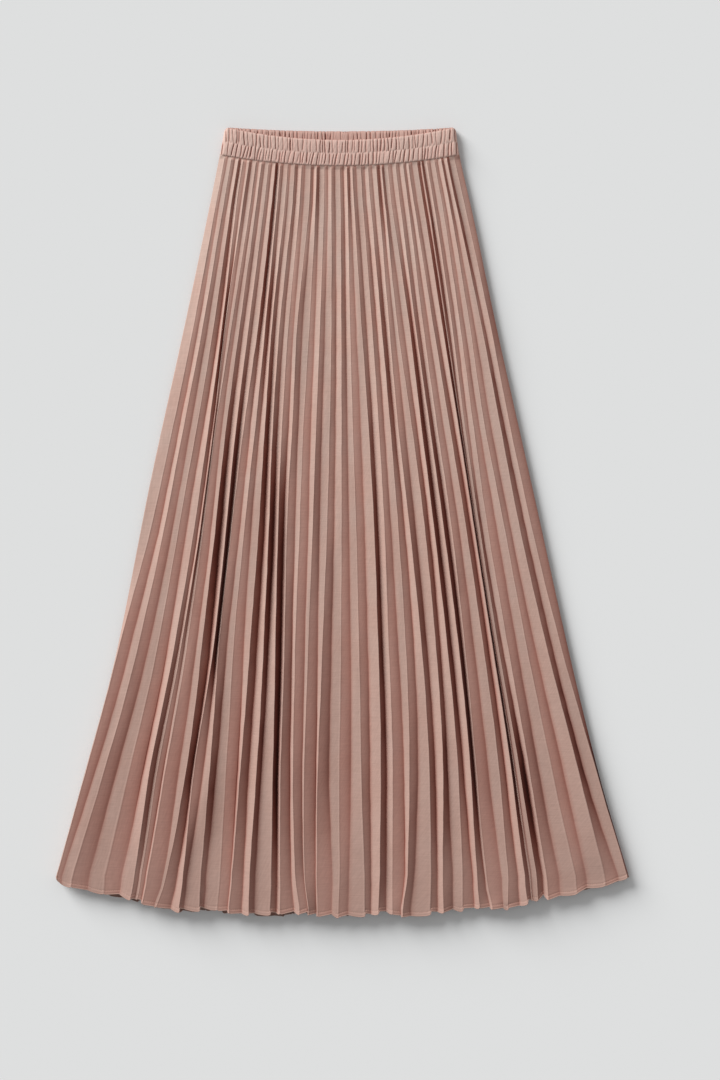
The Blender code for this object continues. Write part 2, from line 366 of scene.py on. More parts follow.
def crease_across(index, down):
    """Where crease number index runs: a side, then ridges and valleys in turn."""
    if index == 0:
        return np.zeros_like(down)
    if index == FACES:
        return np.ones_like(down)
    pleat = PLEATS[(index - 1) // 2]
    ridge = smooth_curve(RIDGE_HEIGHTS, pleat.ridge, down)
    if index % 2 == 1:
        return ridge / THOUSANDTHS
    next_ridge = smooth_curve(RIDGE_HEIGHTS, PLEATS[index // 2].ridge, down)
    shaded = smooth_curve(SHADED_HEIGHTS, pleat.shaded, down) / HUNDREDTHS
    return blend(ridge, next_ridge, shaded) / THOUSANDTHS


def hem_drops(index):
    """How far crease number index hangs below the hem line, and the cloth just after it."""
    if index in (0, FACES):
        return 0.0, 0.0
    tip, behind, valley = PLEATS[(index - 1) // 2].hem
    if index % 2 == 1:
        return tip * MM, behind * MM
    return valley * MM, valley * MM


# ---------------------------------------------------------------- mesh helpers


def grid_mesh(name, points, up=True, closed=False):
    """A mesh over a rows-by-columns grid of points, its faces towards +Z if up."""
    rows, columns = points.shape[:2]
    index = np.arange(rows * columns).reshape(rows, columns)
    if closed:
        index = np.concatenate([index, index[:, :1]], axis=1)
    a = index[:-1, :-1].ravel()
    b = index[:-1, 1:].ravel()
    c = index[1:, 1:].ravel()
    d = index[1:, :-1].ravel()
    faces = np.stack([a, d, c, b] if up else [a, b, c, d], axis=1)
    mesh = bpy.data.meshes.new(name)
    mesh.from_pydata(points.reshape(-1, 3).tolist(), [], faces.tolist())
    mesh.shade_smooth()
    return mesh


def add_piece(mesh, material):
    mesh.materials.clear()
    mesh.materials.append(material)
    piece = bpy.data.objects.new(mesh.name, mesh)
    bpy.context.scene.collection.objects.link(piece)
    return piece


def set_cloth_coordinates(mesh, wide, long, deep):
    """The cloth's own metres as a UV map, and painted fold shade, 0 on open cloth to 1 deep in a fold."""
    layer = mesh.uv_layers.new(name="Cloth")
    corners = np.empty(len(mesh.loops), np.int32)
    mesh.loops.foreach_get("vertex_index", corners)
    both = np.stack([wide.ravel(), long.ravel()], axis=1)[corners]
    layer.data.foreach_set("uv", both.ravel().astype(np.float32))
    attribute = mesh.attributes.new("deep", "FLOAT", "POINT")
    attribute.data.foreach_set("value", deep.ravel().astype(np.float32))


# ---------------------------------------------------------------- pleated panels

# deep holds each point's painted fold shade
Panel = namedtuple("Panel", "points wide long deep")


def row_shares():
    """Shares of the way down the panel, closer together at the gathers and the hem."""
    long = LENGTH - SEAM_AT_MIDDLE
    waist_end = WAIST_ROWS_REACH / long
    hem_start = 1 - HEM_ROWS_REACH / long
    waist = np.linspace(0, waist_end, WAIST_ROWS, endpoint=False)
    body = np.linspace(waist_end, hem_start, BODY_ROWS, endpoint=False)
    return np.concatenate([waist, body, np.linspace(hem_start, 1, HEM_ROWS)])


def crease_lines(mirrored, seed):
    """x and down of every crease along the rows, as two arrays of creases by rows."""
    shares = row_shares()
    along_x = []
    along_down = []
    draw = np.random.default_rng(seed)
    for index in range(FACES + 1):
        source = FACES - index if mirrored else index
        wander = draw.uniform(-1.0, 1.0)

        def line(down, source=source):
            across = crease_across(source, down)
            return 1 - across if mirrored else across

        across = line(blend(SEAM_AT_MIDDLE, LENGTH, shares))
        bottom = hem_down(across) + hem_drops(source)[0] + wander * HEM_WANDER
        down = blend(seam_down(across) - SEAM_TUCK, bottom, shares)
        x = x_at(line(down), down)
        if index not in (0, FACES):
            x = x + WAVER * ripple(down / WAVER_LENGTH * WAVER_PACE, index * CREASE_STEP, seed)
        along_x.append(x)
        along_down.append(down)
    return np.array(along_x), np.array(along_down)


def left_closed(down):
    """The share of a fold's depth that is left as it opens towards the hem."""
    return 1 - HEM_OPENING * ease((down - OPENING_START) / (LENGTH - OPENING_START))


def pleat_depth(index, down):
    """How deep the valley at crease number index looks, from 0 level to 1 full."""
    if index in (0, FACES):
        return np.ones_like(down)
    depth = PLEATS[(index - 1) // 2].depth
    return smooth_curve(DEPTH_HEIGHTS, depth, down) / HUNDREDTHS


def crease_heights(x, down, mirrored, seed):
    """Height of every crease over the middle level, from the cloth its faces hold."""
    widths = np.maximum(np.diff(x, axis=0), LEAST_WIDTH)
    leg = FULLNESS * (x[-1] - x[0]) / FACES
    rise = np.sqrt(np.maximum(leg**2 - widths**2, (LEAST_RISE * widths) ** 2))
    heights = np.full(x.shape, PANEL_CLEARANCE)
    for index in range(1, FACES, 2):
        source = FACES - index if mirrored else index
        held = 0.5 * (rise[index - 1] + rise[index])
        beside = smooth_curve(RISE_HEIGHTS, PLEATS[(source - 1) // 2].rise, down[index])
        wander = ripple(down[index] / UNEVEN_LENGTH, index * RIDGE_STEP, seed + 1)
        uneven = 1 + UNEVEN_RIDGES * wander
        heights[index] += np.minimum(held * uneven, HIGHEST_RIDGE) * beside / HUNDREDTHS
    for index in range(2, FACES, 2):
        source = FACES - index if mirrored else index
        lower = np.minimum(heights[index - 1], heights[index + 1])
        depth = np.clip(pleat_depth(source, down[index]), 0, 1) ** DEPTH_POWER
        opened = blend(WAIST_RELIEF, 1.0, ease(down[index] / RELIEF_LENGTH))
        share = np.minimum(blend(VALLEY_LEAST, VALLEY_MOST, depth) * opened, 1.0)
        heights[index] = blend(lower, PANEL_CLEARANCE, share * left_closed(down[index]))
    return heights


def hem_nook(face, share, mirrored, down):
    """How much lower than a straight edge a face's hem runs.

    It is blunt at the ridge. A lit face's hem hangs in a shallow curve, and a shaded one's
    steps up just behind the ridge.
    """
    source = FACES - 1 - face if mirrored else face
    along = 1 - share if mirrored else share
    above = down[-1] - down
    near = ease(1 - above / NOOK_REACH)
    lit = source % 2 == 0
    from_ridge = 1 - along if lit else along
    blunt = TIP_ROUND * (1 - ease(from_ridge / TIP_SHARE))
    if lit:
        return (HEM_BELLY * 4 * along * (1 - along) - blunt) * near
    tip, behind = hem_drops(source)
    valley = hem_drops(source + 1)[0]
    if along < NOOK_SHARE:
        wanted = blend(tip, behind, along / NOOK_SHARE)
    else:
        wanted = blend(behind, valley, (along - NOOK_SHARE) / (1 - NOOK_SHARE))
    return (wanted - blend(tip, valley, along) - blunt) * near


def painted_fold_shade(steep, share, rising, down):
    """How much painted shade a point gets in its fold, a share of the way across its face."""
    tone = blend(LEAST_TONE, DEEPEST_TONE, steep)
    tone = tone * blend(TONE_AT_WAIST, TONE_AT_HEM, down / LENGTH) * left_closed(down)
    at_valley = blend(*VALLEY_TONES, steep)
    if rising:
        return np.clip(at_valley * tone * (1 - share) ** blend(*UPWARD_FADES, steep), 0, 1)
    at_ridge = blend(*RIDGE_TONES, steep) * ease(share / FALLING_STEPS[1])
    sinking = share ** blend(VALLEY_CURVE, 1.0, steep)
    return np.clip(tone * blend(at_ridge, at_valley, sinking), 0, 1)


def panel_grid(mirrored, seed):
    """x, down, height, place across the cloth and painted fold shade, of each point."""
    x, down = crease_lines(mirrored, seed)
    crease_height = crease_heights(x, down, mirrored, seed)
    leg = FULLNESS * (x[-1] - x[0]) / FACES
    points_x, points_down, points_z, wide, deep = [], [], [], [], []
    for face in range(FACES):
        rising = face % 2 == 0
        bow = BOW * ripple(down[face] / BOW_LENGTH * BOW_PACE, face * FACE_STEP, seed + 2)
        width = np.maximum(x[face + 1] - x[face], LEAST_WIDTH)
        slope = np.abs(crease_height[face + 1] - crease_height[face]) / width
        steep = ease((slope - GENTLE) / (STEEP - GENTLE))
        for share in RISING_STEPS if rising else FALLING_STEPS:
            middle = 4 * share * (1 - share)
            if rising:
                climb = share ** blend(1.0, RISING_CURVE, steep)
            else:
                climb = 1 - (1 - share) ** blend(GENTLE_FALL, FALLING_CURVE, steep)
            height = blend(crease_height[face], crease_height[face + 1], climb)
            if share == 0.0 and not rising:
                height = height + CREASE_NIP
            along = blend(down[face], down[face + 1], share)
            points_x.append(blend(x[face], x[face + 1], share))
            points_down.append(along + hem_nook(face, share, mirrored, along))
            points_z.append(height + bow * middle)
            wide.append((face + share) * leg)
            in_a_fold = face > 0  # the first face is the side's, with no valley before it
            # painted shade, deep in the fold
            deep.append(painted_fold_shade(steep, share, rising, along) * in_a_fold)
    points_x.append(x[-1])
    points_down.append(down[-1])
    points_z.append(crease_height[-1])
    wide.append(FACES * leg)
    deep.append(np.zeros(len(leg)))
    x = np.array(points_x).T
    down = np.array(points_down).T
    height = np.array(points_z).T
    return x, down, height, np.array(wide).T, np.array(deep).T


def gathered(x, down, height, seed):
    """Draws the cloth together to the seam's level over the first stretch below it."""
    width_left = x_at(np.zeros_like(down), down)
    width_right = x_at(np.ones_like(down), down)
    across = np.clip((x - width_left) / (width_right - width_left), 0, 1)
    below = (down - seam_down(across)) / GATHER_ZONE
    level = SEAM_LEVEL + SEAM_LIFT * side_arch(across)
    wide, long = SEAM_PUCKER_SIZE
    pucker = SEAM_PUCKER * ripple(x / wide, down / long, seed + 3)
    opened = ease(below)
    crown = ease((height - level) / PUFF_CROWN)
    puff = GATHER_PUFF * np.exp(-(((below - PUFF_MIDDLE) / PUFF_SPREAD) ** 2)) * crown
    return blend(level + pucker, height, opened) + puff


def turned_hem(down, height):
    """Adds the narrow hem's second layer of cloth, and the dip of the stitching at its top."""
    above = down[-1][None, :] - down
    ply = HEM_PLY * ease((HEM_TURN - above) / HEM_STEP)
    dip = STITCH_DIP * np.exp(-(((above - HEM_TURN) / STITCH_DIP_WIDTH) ** 2))
    return height + ply - dip


def make_panel(mirrored, seed):
    x, down, height, wide, deep = panel_grid(mirrored, seed)
    height = gathered(x, down, height, seed)
    height = turned_hem(down, height)
    middle = middle_level(down)
    z = middle - height if mirrored else middle + height
    z = np.maximum(z, FLOOR_CLEARANCE)
    points = np.stack([x, place_y(down), z], axis=2)
    return Panel(points, wide, down, deep)


def panel_piece(name, panel, up, material):
    mesh = grid_mesh(name, panel.points, up=up)
    set_cloth_coordinates(mesh, panel.wide, panel.long, panel.deep)
    piece = add_piece(mesh, material)
    shell = piece.modifiers.new("cloth thickness", "SOLIDIFY")
    shell.thickness = CLOTH
    shell.offset = -1.0
    shell.use_even_offset = False
    shell.use_rim = True
    return piece


# ---------------------------------------------------------------- rolled edge of a hem

BEAD_SIDES = 8


def tube_mesh(name, path, radius, sides):
    """A closed tube of this radius along the points of the path."""
    step = np.gradient(path, axis=0)
    along = step / np.linalg.norm(step, axis=1)[:, None]
    across = np.cross(along, (0.0, 0.0, 1.0))
    across /= np.linalg.norm(across, axis=1)[:, None]
    upward = np.cross(across, along)
    turn = np.linspace(0, 2 * math.pi, sides, endpoint=False)
    around = np.cos(turn)[None, :, None] * across[:, None, :]
    around = around + np.sin(turn)[None, :, None] * upward[:, None, :]
    points = path[:, None, :] + radius * around
    mesh = grid_mesh(name, points, closed=True)
    rings = len(path)
    ends = [list(range(sides)), list(range((rings - 1) * sides, rings * sides))]
    return capped(mesh, ends)


def capped(mesh, rings):
    """The mesh with a face closing each of these rings of points, and normals outward."""
    body = bmesh.new()
    body.from_mesh(mesh)
    body.verts.ensure_lookup_table()
    for ring in rings:
        body.faces.new([body.verts[i] for i in ring])
    bmesh.ops.recalc_face_normals(body, faces=body.faces[:])
    body.to_mesh(mesh)
    body.free()
    return mesh


def hem_bead(name, panel, material):
    path = panel.points[-1].copy()
    path[:, 2] = np.maximum(path[:, 2], HEM_BEAD + FLOOR_CLEARANCE)
    mesh = tube_mesh(name, path, HEM_BEAD, BEAD_SIDES)
    return add_piece(mesh, material)


# ---------------------------------------------------------------- ruched waistband

BAND_COLUMNS = 900
OUTER_ROWS = 44
INNER_ROWS = 30
TOP_FOLD_ROWS = 6
BAND_PLY = 2.3 * MM  # cloth, elastic and cloth again
CHANNEL_PUFF = 0.95 * MM
MOUTH_HALF = 3.25 * MM
BAND_GAP = 0.15 * MM
BAND_SIDE_TAPER = 5 * MM
RUCHE_PITCH = (2.6 * MM, 6.6 * MM)
RUCHE_WIDTH = (0.45 * MM, 0.95 * MM)
RUCHE_DEPTH = (0.6 * MM, 1.9 * MM)
RUCHE_LEAN = 1.6 * MM  # how far one leans beside the next
RUCHE_SWAY = 0.5 * MM  # and how far it bends at its middle
RUCHE_STARTS = (-0.60, 0.04)  # levels of the channel between which a ruche starts,
RUCHE_STOPS = (0.96, 1.60)  # and between which it ends,
RUCHE_FADE = 0.3  # fading over this much of it
RUCHE_ENDS = (-OUTLINE[1].left - 4 * MM, OUTLINE[1].right + 4 * MM)
RUCHE_SHADE = 0.75  # painted shade in the deepest ruche
# Leans over the upper channel, at left and right, then over the lower one
FRONT_LEANS = (0.2 * MM, 0.2 * MM, 3.4 * MM, 0.6 * MM)
BACK_LEANS = (0.3 * MM, -0.3 * MM, 0.0, 0.0)
NO_LEANS = (0.0, 0.0, 0.0, 0.0)
CHANNEL_ROUNDNESS = 0.32
CHANNEL_LEAST = 0.01
TROUGH_GROWTH = 1.3  # a trough is full where its channel is round,
TROUGH_LEAST = 0.35  # and this share of that where the channel is pinched
STITCH_LINE = 0.5  # level of the stitching between the channels
STITCH_LINE_SPREAD = 0.035
CRINKLE = 0.16 * MM  # fine creases all over the band
CRINKLE_LENGTH = 1.5 * MM
CRINKLE_ROWS = 9
TUCK = 0.35 * MM  # small tucks along the stitching
TUCK_LENGTH = 1.1 * MM
TUCK_ROWS = 3
INSIDE_SHADE = 0.16  # painted shade on the half seen from its inside, which gets less light
INNER_RELIEF = 0.80  # the inside's relief beside the outside's
RIM_SHADE = 0.7 * MM  # painted shade on the rim, as dark as in a trough this deep
EDGE_NOTCH = 0.40  # how far a ruche pulls the top edge down, beside its depth
EDGE_LEVEL = 0.1  # of the ruches that do
SIDE_CROWDING = 0.25  # how much closer together the columns are at the side folds
BAND_SHORT = 0.4 * MM  # the band ends this far above the seam's line
BAND_TUCK = 0.5 * MM  # the seam draws its lower edge in
BAND_TUCK_SPREAD = 0.022
WAIST_ACROSS = 0.3  # about, for the taper towards the side folds,
SIDE_PLY = 0.35  # where the band keeps this share of its thickness
LEAST_PLY = 0.5 * MM
INNER_SEED_STEP = 20
CORNER_RADIUS = 5 * MM
JOIN_MIDDLE = -2.0 * MM  # the plain stretch at the centre back join
JOIN_HALF = 8.5 * MM
JOIN_GROOVE = 0.8 * MM
JOIN_GROOVE_WIDTH = 0.5 * MM
JOIN_EDGE_SHARE = 0.6  # its two edge grooves beside the seam's
JOIN_FADE = 2 * MM


def channel_ruches(x, level, lean_at_left, lean_at_right, seed):
    """Troughs drawn up by one channel's elastic. Level runs 0 to 1 down the channel."""
    draw = np.random.default_rng(seed)
    depth = np.zeros_like(x)
    first, last = RUCHE_ENDS
    place = first
    while place < last:
        place += draw.uniform(*RUCHE_PITCH)
        width = draw.uniform(*RUCHE_WIDTH)
        deep = draw.uniform(*RUCHE_DEPTH)
        start = draw.uniform(*RUCHE_STARTS)
        end = draw.uniform(*RUCHE_STOPS)
        share = (place - first) / (last - first)
        lean = blend(lean_at_left, lean_at_right, share) + draw.uniform(-1, 1) * RUCHE_LEAN
        sway = draw.uniform(-1, 1) * RUCHE_SWAY * np.sin(math.pi * level)
        centre = place + lean * (0.5 - level) + sway
        window = ease((level - start) / RUCHE_FADE) * ease((end - level) / RUCHE_FADE)
        depth += deep * window * np.exp(-(((x - centre) / width) ** 2))
    return depth


def channel_puff(level):
    """Round over each of the two elastic channels, pinched at the edges and between."""
    return (np.abs(np.sin(2 * math.pi * level)) + CHANNEL_LEAST) ** CHANNEL_ROUNDNESS


def join_patch(x):
    """1 over the plain stretch at the centre back join, 0 beyond it, and its grooves."""
    from_edge = np.abs(x - JOIN_MIDDLE) - JOIN_HALF
    plain = ease(0.5 - from_edge / JOIN_FADE)
    edges = np.exp(-((from_edge / JOIN_GROOVE_WIDTH) ** 2))
    seam = np.exp(-(((x - JOIN_MIDDLE) / JOIN_GROOVE_WIDTH) ** 2))
    return plain, JOIN_GROOVE * (JOIN_EDGE_SHARE * edges + seam)


def ruched(x, level, leans, seed, joined=False):
    """Height of the ruched cloth over the band's flat form, and how deep its troughs go."""
    upper = level < STITCH_LINE
    high = channel_ruches(x, level * 2, leans[0], leans[1], seed)
    low = channel_ruches(x, level * 2 - 1, leans[2], leans[3], seed + 1)
    puff = channel_puff(level)
    trough = np.where(upper, high, low) * np.clip(puff * TROUGH_GROWTH, TROUGH_LEAST, 1.0)
    if joined:
        plain, grooves = join_patch(x)
        trough = trough * (1 - plain) + grooves
    fine = CRINKLE * ripple(x / CRINKLE_LENGTH, level * CRINKLE_ROWS, seed + 2)
    pinch = np.exp(-(((level - STITCH_LINE) / STITCH_LINE_SPREAD) ** 2))
    tucks = TUCK * pinch * ripple(x / TUCK_LENGTH, level * TUCK_ROWS, seed + 5)
    return CHANNEL_PUFF * puff - trough + fine + tucks, trough


def band_columns():
    """Shares across the waist, a little closer together towards its side folds."""
    turn = np.linspace(0, math.pi, BAND_COLUMNS + 1)
    even = np.linspace(0, 1, BAND_COLUMNS + 1)
    rounded = (1 - np.cos(turn)) / 2
    return blend(even, rounded, SIDE_CROWDING)


def corner_drop(across, down):
    """How far the band's top edge falls away round its two corners."""
    width = x_at(np.ones_like(across), down) - x_at(np.zeros_like(across), down)
    inward = np.minimum(across, 1 - across) * width
    into = np.clip(CORNER_RADIUS - inward, 0, CORNER_RADIUS)
    return CORNER_RADIUS - np.sqrt(CORNER_RADIUS**2 - into**2)


def band_loop(top_line, outer_leans, inner_leans, seed, flipped):
    """Points of a band half, as columns by a loop round its cross-section."""
    across = band_columns()[:, None]
    outer_level = np.linspace(0, 1, OUTER_ROWS)[None, :]
    inner_level = np.linspace(1, 0, INNER_ROWS)[None, :]
    top = bowed(*top_line, across)
    top = top + corner_drop(across, top)
    inner_seed = seed + INNER_SEED_STEP
    seen_leans, seen_seed = (inner_leans, inner_seed) if flipped else (outer_leans, seed)
    edge_x = x_at(across, top)
    pulls = channel_ruches(edge_x, EDGE_LEVEL, seen_leans[0], seen_leans[1], seen_seed)
    top = top + EDGE_NOTCH * pulls
    bottom = seam_down(across) - BAND_SHORT
    fold = BAND_PLY / 2
    inward = np.minimum(across, 1 - across) * WAIST_ACROSS
    taper = SIDE_PLY + (1 - SIDE_PLY) * np.sqrt(ease(inward / BAND_SIDE_TAPER))

    def face(level):
        down = blend(top + fold, bottom, level)
        return down, x_at(across, down)

    outer_down, outer_x = face(outer_level)
    inner_down, inner_x = face(inner_level)
    inside = BAND_GAP + MOUTH_HALF * side_arch(across)
    outer_relief, outer_trough = ruched(outer_x, outer_level + 0 * across, outer_leans, seed)
    inner_relief, inner_trough = ruched(
        inner_x, inner_level + 0 * across, inner_leans, inner_seed, joined=flipped
    )
    tucked = BAND_TUCK * np.exp(-(((outer_level - 1) / BAND_TUCK_SPREAD) ** 2))
    outer_height = inside + (BAND_PLY + outer_relief - tucked) * taper
    inner_height = inside - (inner_relief - CHANNEL_PUFF) * INNER_RELIEF * taper
    highest = outer_height.max(axis=1, keepdims=True)
    inner_height = np.minimum(inner_height, highest - LEAST_PLY)
    angle = np.linspace(0, math.pi, TOP_FOLD_ROWS + 2)[1:-1][None, :]
    centre = (outer_height[:, :1] + inner_height[:, -1:]) / 2
    radius = (outer_height[:, :1] - inner_height[:, -1:]) / 2
    fold_down = top + fold - radius * np.sin(angle)
    fold_height = centre - radius * np.cos(angle)
    fold_x = x_at(across + 0 * angle, fold_down)
    x = np.concatenate([outer_x, inner_x, fold_x], axis=1)
    down = np.concatenate([outer_down, inner_down, fold_down], axis=1)
    height = np.concatenate([outer_height, inner_height, fold_height], axis=1)
    rim_shade = pulls + RIM_SHADE + 0 * angle
    trough = np.concatenate([outer_trough, inner_trough, rim_shade], axis=1)
    if flipped:
        z = np.maximum(middle_level(down) - height, FLOOR_CLEARANCE)
    else:
        z = middle_level(down) + height
    # Painted shade: in the ruches' troughs, on the rim and over the half seen from its inside.
    deep = RUCHE_SHADE * np.clip(trough / RUCHE_DEPTH[1], 0, 1) + INSIDE_SHADE * flipped
    return np.stack([x, place_y(down), z], axis=2), deep


def make_band(name, top_line, outer_leans, inner_leans, seed, flipped, material):
    points, deep = band_loop(top_line, outer_leans, inner_leans, seed, flipped)
    mesh = grid_mesh(name, points, closed=True)
    columns, loop = points.shape[:2]
    ends = [list(range(loop)), list(range((columns - 1) * loop, columns * loop))]
    capped(mesh, ends)
    set_cloth_coordinates(mesh, points[:, :, 0], points[:, :, 1], deep)
    return add_piece(mesh, material)


# ---------------------------------------------------------------- materials


def linear(hex_colour):
    """An sRGB colour such as C8A294 as linear red, green, blue and 1."""
    channels = [int(hex_colour[i : i + 2], 16) / 255 for i in (0, 2, 4)]
    straight = [c / 12.92 if c <= 0.04045 else ((c + 0.055) / 1.055) ** 2.4 for c in channels]
    return (*straight, 1.0)


def add(tree, kind, settings=None, inputs=None):
    """A node with its settings, and its inputs as values or as sockets to link."""
    node = tree.nodes.new(kind)
    for name, value in (settings or {}).items():
        setattr(node, name, value)
    for name, value in (inputs or {}).items():
        if isinstance(value, bpy.types.NodeSocket):
            tree.links.new(value, node.inputs[name])
        else:
            node.inputs[name].default_value = value
    return node


def new_material(name, finish):
    """A material, its tree and its shader, with the finish on the shader's own sockets."""
    material = bpy.data.materials.new(name)
    material.use_nodes = True
    shader = material.node_tree.nodes["Principled BSDF"]
    for socket, value in finish.items():
        shader.inputs[socket].default_value = value
    return material, material.node_tree, shader


def streaks(tree, cloth, scale, detail, turn=0.0):
    """Noise over the cloth's own metres, as fine as the scale says each way."""
    fitted = {"Vector": cloth, "Rotation": (0, 0, turn), "Scale": scale}
    place = add(tree, "ShaderNodeMapping", None, fitted).outputs["Vector"]
    noise = {"Vector": place, "Scale": 1.0, "Detail": detail}
    return add(tree, "ShaderNodeTexNoise", None, noise).outputs["Fac"]


COLOURS = {"data_type": "RGBA"}
THREAD = 1.5 * MM  # real crepe threads are 0.25 mm apart, drawn coarser so that they show
SLUB = 14 * MM  # how far along a thread its thickness lasts
WEAVE_RANGE = (0.6, 1.4)  # of the two threads' noise together,
THREAD_TONES = (0.90, 1.10)  # and the tones that it gives the cloth
PUCKER = (15 * MM, 6 * MM)  # length and spacing of the faint slanting puckers
PUCKER_SLANT = math.radians(35)
PUCKER_HEIGHT = 1.6  # beside the threads' height
MOTTLE = 45 * MM  # size of the warmer patches,
MOTTLE_RANGE = (0.35, 0.70)  # the noise between which they grow,
MOST_WARMTH = 0.55  # and their greatest share
BUMP_STRENGTH = 0.35
BUMP_DISTANCE = 0.14 * MM
WAIST_LIGHT = 0.99  # painted light at the waist, falling off to the next value at the hem
HEM_LIGHT = 0.70
FADE_POWER = 2.2
FADED_LIGHT = 0.15  # share of the cloth's own tone left at the bottom of the deepest fold
CREPE_FINISH = {
    "Roughness": 0.78,
    "Specular IOR Level": 0.25,
    "Sheen Weight": 0.12,
    "Sheen Roughness": 0.45,
}
FLECK = 1.5 * MM


def woven_crepe(name, waist_hex, hem_hex, painted_shade_hex, warm_hex):
    """Polyester crepe, plain woven from twisted yarn: matte, with a faint dry grain, and painted fold shade
    and painted light falloff in its colour.
    """
    material, tree, shader = new_material(name, CREPE_FINISH)
    cloth = add(tree, "ShaderNodeUVMap", {"uv_map": "Cloth"}).outputs["UV"]
    place = add(tree, "ShaderNodeTexCoord").outputs["Object"]
    deep = add(tree, "ShaderNodeAttribute", {"attribute_name": "deep"}).outputs["Fac"]

    # Towards the hem the cloth is mixed a little redder, and painted light falls off, darker towards the hem.
    length = add(tree, "ShaderNodeSeparateXYZ", None, {"Vector": place}).outputs["Y"]
    hemward = {"Value": length, "From Min": WAIST_Y, "From Max": WAIST_Y - LENGTH}
    redder = add(tree, "ShaderNodeMapRange", None, hemward)
    face = add(
        tree,
        "ShaderNodeMix",
        COLOURS,
        {"Factor": redder.outputs["Result"], 6: linear(waist_hex), 7: linear(hem_hex)},
    )
    noise = {"Vector": place, "Scale": 1 / MOTTLE, "Detail": 3.0}
    mottle = add(tree, "ShaderNodeTexNoise", None, noise)
    warmth = add(
        tree,
        "ShaderNodeMapRange",
        None,
        {
            "Value": mottle.outputs["Fac"],
            "From Min": MOTTLE_RANGE[0],
            "From Max": MOTTLE_RANGE[1],
            "To Max": MOST_WARMTH,
        },
    )
    ground = add(
        tree,
        "ShaderNodeMix",
        COLOURS,
        {"Factor": warmth.outputs["Result"], 6: face.outputs[2], 7: linear(warm_hex)},
    )
    # Down in a fold the colour is painted redder and then darker: painted shade, with the red of painted
    # bounce light.
    shade_mix = {"Factor": deep, 6: ground.outputs[2], 7: linear(painted_shade_hex)}
    coloured = add(tree, "ShaderNodeMix", COLOURS, shade_mix)
    fading = add(tree, "ShaderNodeMath", {"operation": "POWER"}, {0: deep, 1: FADE_POWER})
    dimmed = add(
        tree,
        "ShaderNodeMapRange",
        None,
        {"Value": fading.outputs["Value"], "To Min": 1.0, "To Max": FADED_LIGHT},
    )
    # Painted light that falls off from the waist to the hem.
    falloff_span = {**hemward, "To Min": WAIST_LIGHT, "To Max": HEM_LIGHT}
    hem_falloff = add(tree, "ShaderNodeMapRange", None, falloff_span)

    # Threads across and along the cloth, broken up so that no line runs on.
    warp = streaks(tree, cloth, (1 / THREAD, 1 / SLUB, 1.0), 2.0)
    weft = streaks(tree, cloth, (1 / SLUB, 1 / THREAD, 1.0), 2.0)
    pucker = streaks(tree, cloth, (1 / PUCKER[0], 1 / PUCKER[1], 1.0), 1.0, PUCKER_SLANT)
    weave = add(tree, "ShaderNodeMath", {"operation": "ADD"}, {0: warp, 1: weft})
    thread_tone = add(
        tree,
        "ShaderNodeMapRange",
        None,
        {
            "Value": weave.outputs["Value"],
            "From Min": WEAVE_RANGE[0],
            "From Max": WEAVE_RANGE[1],
            "To Min": THREAD_TONES[0],
            "To Max": THREAD_TONES[1],
        },
    )
    tone = thread_tone.outputs["Result"]
    for share in (dimmed, hem_falloff):
        factors = {0: tone, 1: share.outputs["Result"]}
        tone = add(tree, "ShaderNodeMath", {"operation": "MULTIPLY"}, factors).outputs["Value"]
    shade = {0: coloured.outputs[2], "Scale": tone}
    toned = add(tree, "ShaderNodeVectorMath", {"operation": "SCALE"}, shade)
    raised = {0: pucker, 1: PUCKER_HEIGHT, 2: weave.outputs["Value"]}
    relief = add(tree, "ShaderNodeMath", {"operation": "MULTIPLY_ADD"}, raised)
    bump = add(
        tree,
        "ShaderNodeBump",
        None,
        {
            "Height": relief.outputs["Value"],
            "Strength": BUMP_STRENGTH,
            "Distance": BUMP_DISTANCE,
        },
    )
    tree.links.new(toned.outputs["Vector"], shader.inputs["Base Color"])
    tree.links.new(bump.outputs["Normal"], shader.inputs["Normal"])
    return material


def polyester_thread(name, hex_colour, fleck_hex):
    """Spun polyester sewing thread, dyed to the cloth, with slightly lighter flecks."""
    material, tree, shader = new_material(name, {"Roughness": 0.6})
    place = add(tree, "ShaderNodeTexCoord").outputs["Object"]
    fleck = add(tree, "ShaderNodeTexNoise", None, {"Vector": place, "Scale": 1 / FLECK})
    mixed = {"Factor": fleck.outputs["Fac"], 6: linear(hex_colour), 7: linear(fleck_hex)}
    tone = add(tree, "ShaderNodeMix", COLOURS, mixed)
    tree.links.new(tone.outputs[2], shader.inputs["Base Color"])
    return material


def painted_board(name, hex_colour):
    """The table: matte painted board."""
    finish = {"Base Color": linear(hex_colour), "Roughness": 0.95, "Specular IOR Level": 0.0}
    return new_material(name, finish)[0]


# ---------------------------------------------------------------- stitches

STITCH_SIDES = 6
STITCH_PITCH = 2.6 * MM
STITCH_LENGTH = 1.9 * MM
STITCH_RADIUS = 0.16 * MM


